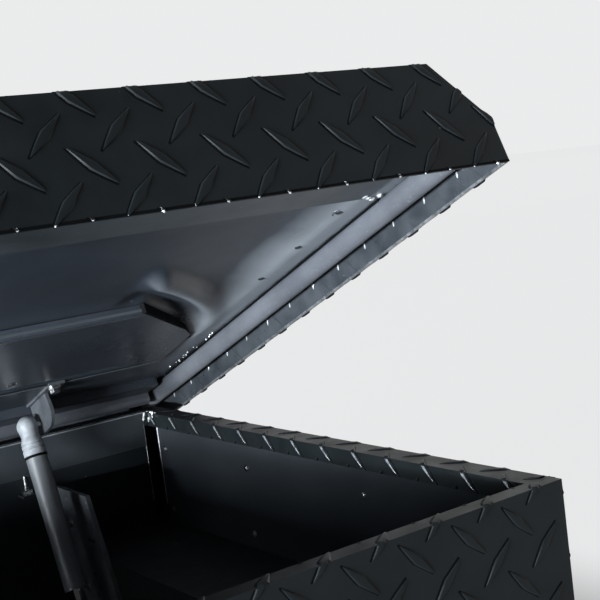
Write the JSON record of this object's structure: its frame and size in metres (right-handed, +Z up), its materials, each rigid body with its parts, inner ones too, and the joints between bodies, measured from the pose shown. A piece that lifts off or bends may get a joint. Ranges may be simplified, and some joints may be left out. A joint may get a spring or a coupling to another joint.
{
  "type": "truck tool box",
  "caption": "Crossover tool box for a pickup bed in black tread plate, with a hinged lid on gas struts, a bulb seal under the lid, inner liners and paddle latches.",
  "frame": {"origin": "middle of the tub floor's underside", "axes": "+X along the box to its right end, +Y to the rear where the lid is hinged, +Z up"},
  "size_m": [1.78, 0.5709, 0.5838],
  "materials": {
    "tread_plate": "satin black powder coat over aluminium tread plate with raised lugs",
    "coated_plate": "satin black powder coat over smooth aluminium plate",
    "inner_sheet": "semi-gloss dark grey coat over smooth aluminium sheet",
    "bracket_steel": "dark coated steel with bare worn edges",
    "rivet_metal": "coated rivet heads",
    "zinc_steel": "bright zinc plated steel",
    "socket_metal": "light grey die-cast metal",
    "seal_rubber": "grey hollow rubber bulb",
    "strut_paint": "gloss dark grey paint",
    "bright_chrome": "polished",
    "latch_paint": "black textured coat"
  },
  "bodies": {
    "box": {"tub_floor": "coated_plate", "front_panel": "tread_plate", "rear_panel": "tread_plate", "tub_end_right": "coated_plate", "tub_end_left": "coated_plate", "shoulder_floor_right": "coated_plate", "shoulder_floor_left": "coated_plate", "end_skin_right": "tread_plate", "end_skin_left": "tread_plate", "liner_right": "inner_sheet", "liner_left": "inner_sheet", "liner_rear": "inner_sheet", "liner_rivets": "rivet_metal", "rail_pad_right": "seal_rubber", "rail_pad_left": "seal_rubber", "strut_plate_right": "bracket_steel", "strut_plate_left": "bracket_steel", "strut_plate_rivets": "rivet_metal", "hinge_leaf_body": "bracket_steel", "hinge_pin": "zinc_steel", "hinge_rivets_body": "rivet_metal", "latch_dish_right": "latch_paint", "latch_dish_left": "latch_paint", "latch_rivets": "rivet_metal", "paddle_pins": "zinc_steel"},
    "lid": {"hinge_leaf_lid": "bracket_steel", "hinge_rivets_lid": "rivet_metal", "lid_skin": "tread_plate", "lid_pan": "inner_sheet", "lid_rear_plate": "inner_sheet", "lid_front_beam": "inner_sheet", "lid_rivets": "rivet_metal", "seal_right": "seal_rubber", "seal_left": "seal_rubber", "seal_front": "seal_rubber", "seal_rear": "seal_rubber", "strut_bracket_right": "bracket_steel", "strut_bracket_left": "bracket_steel", "strut_bracket_bolts": "zinc_steel", "ball_studs_lid": "zinc_steel", "latch_strikers": "bracket_steel", "striker_bolts": "zinc_steel"},
    "strut_cylinder_right": {"strut_tube_right": "strut_paint", "strut_socket_right": "socket_metal"},
    "strut_rod_right": {"strut_rod_right": "bright_chrome", "strut_foot_right": "socket_metal"},
    "paddle_right": {"latch_paddle_right": "latch_paint"},
    "lock_right": {"lock_barrel_right": "bright_chrome"},
    "bolt_right": {"latch_bolt_right": "zinc_steel"},
    "strut_cylinder_left": {"strut_tube_left": "strut_paint", "strut_socket_left": "socket_metal"},
    "strut_rod_left": {"strut_rod_left": "bright_chrome", "strut_foot_left": "socket_metal"},
    "paddle_left": {"latch_paddle_left": "latch_paint"},
    "lock_left": {"lock_barrel_left": "bright_chrome"},
    "bolt_left": {"latch_bolt_left": "zinc_steel"}
  },
  "joints": [
    {"name": "lid_hinge", "type": "hinge", "parent": "box", "child": "lid", "pos_m": [0, 0.2565, 0.3207], "axis": [-1, 0, 0], "range_deg": [-23.05, 46.95]},
    {"name": "strut_swing_right", "type": "hinge", "parent": "lid", "child": "strut_cylinder_right", "pos_m": [0.7314, 0.21499, 0.34575], "axis": [-1, 0, 0], "range_deg": [-41.9, 20.6]},
    {"name": "strut_stroke_right", "type": "slide", "parent": "strut_cylinder_right", "child": "strut_rod_right", "axis": [0, -0.3589, -0.9334], "range_m": [-0.0165, 0.0335]},
    {"name": "paddle_pull_right", "type": "hinge", "parent": "box", "child": "paddle_right", "pos_m": [0.48, -0.25, 0.292], "axis": [-1, 0, 0], "range_deg": [0, 35], "stiffness_Nm_per_rad": 0.3, "springref_deg": -11.46},
    {"name": "lock_turn_right", "type": "hinge", "parent": "paddle_right", "child": "lock_right", "pos_m": [0.48, -0.255, 0.25], "axis": [0, 1, 0], "range_deg": [0, 90]},
    {"name": "bolt_draw_right", "type": "slide", "parent": "box", "child": "bolt_right", "axis": [0, -1, 0], "range_m": [0, 0.0102]},
    {"name": "strut_swing_left", "type": "hinge", "parent": "lid", "child": "strut_cylinder_left", "pos_m": [-0.7314, 0.21499, 0.34575], "axis": [-1, 0, 0], "range_deg": [-41.9, 20.6]},
    {"name": "strut_stroke_left", "type": "slide", "parent": "strut_cylinder_left", "child": "strut_rod_left", "axis": [0, -0.3589, -0.9334], "range_m": [-0.0165, 0.0335]},
    {"name": "paddle_pull_left", "type": "hinge", "parent": "box", "child": "paddle_left", "pos_m": [-0.48, -0.25, 0.292], "axis": [-1, 0, 0], "range_deg": [0, 35], "stiffness_Nm_per_rad": 0.3, "springref_deg": -11.46},
    {"name": "lock_turn_left", "type": "hinge", "parent": "paddle_left", "child": "lock_left", "pos_m": [-0.48, -0.255, 0.25], "axis": [0, 1, 0], "range_deg": [0, 90]},
    {"name": "bolt_draw_left", "type": "slide", "parent": "box", "child": "bolt_left", "axis": [0, -1, 0], "range_m": [0, 0.0102]}
  ],
  "couplings": [
    {"joint": "strut_swing_right", "follows": "lid_hinge", "ratio": -0.88799},
    {"joint": "strut_stroke_right", "follows": "lid_hinge", "m_per_rad": 0.040476},
    {"joint": "bolt_draw_right", "follows": "paddle_pull_right", "m_per_rad": 0.0165},
    {"joint": "strut_swing_left", "follows": "lid_hinge", "ratio": -0.88799},
    {"joint": "strut_stroke_left", "follows": "lid_hinge", "m_per_rad": 0.040476},
    {"joint": "bolt_draw_left", "follows": "paddle_pull_left", "m_per_rad": 0.0165}
  ]
}
